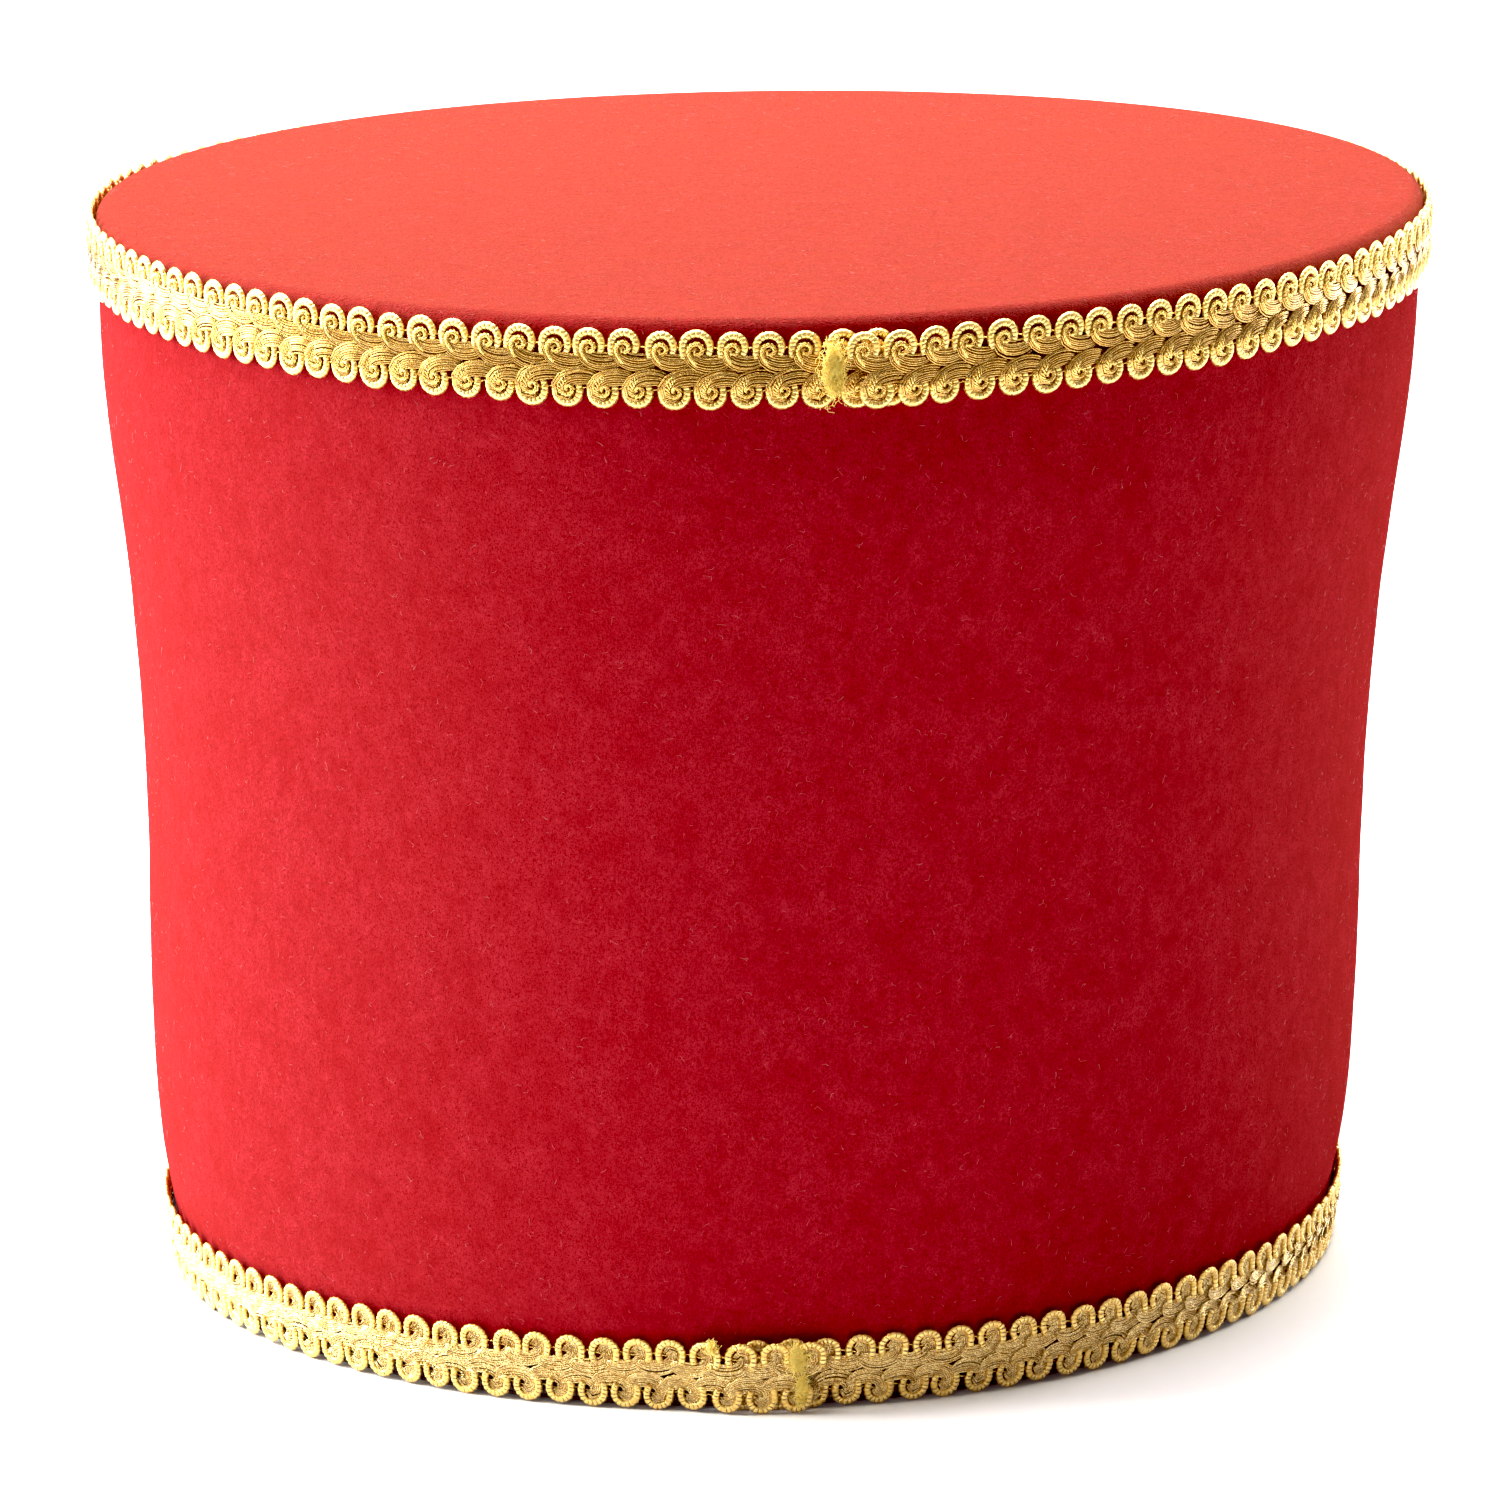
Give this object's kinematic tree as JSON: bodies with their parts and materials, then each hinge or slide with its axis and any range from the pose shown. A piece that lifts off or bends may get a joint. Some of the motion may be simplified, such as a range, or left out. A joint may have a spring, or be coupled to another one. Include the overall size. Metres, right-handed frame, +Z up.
{
  "type": "felt shako",
  "caption": "Round felt shako without a peak: a flared wall, a flat top, a taped hem and gold scroll gimp along rim and hem. Worn on the head as parade or costume dress.",
  "frame": {"origin": "on the surface that the hem stands on, under the middle of the object's box, which is the middle of the rim; the hem's middle lies 4.7 mm towards -X", "axes": "+Z up, from the hem to the top; -Y towards the front, where the ends of both gimp strips are lapped; +X to the right of someone looking at that front"},
  "size_m": [0.217, 0.2244, 0.1761],
  "materials": {
    "felt": "needle-punched red felt with a short fuzzy nap",
    "tape": "matt black woven tape",
    "gimp": "gold metallised thread wound on a yellow core"
  },
  "bodies": {
    "root": {"crown_side": "felt", "crown_top": "felt", "hem_tape": "tape", "upper_gimp": "gimp", "lower_gimp": "gimp"}
  },
  "joints": []
}
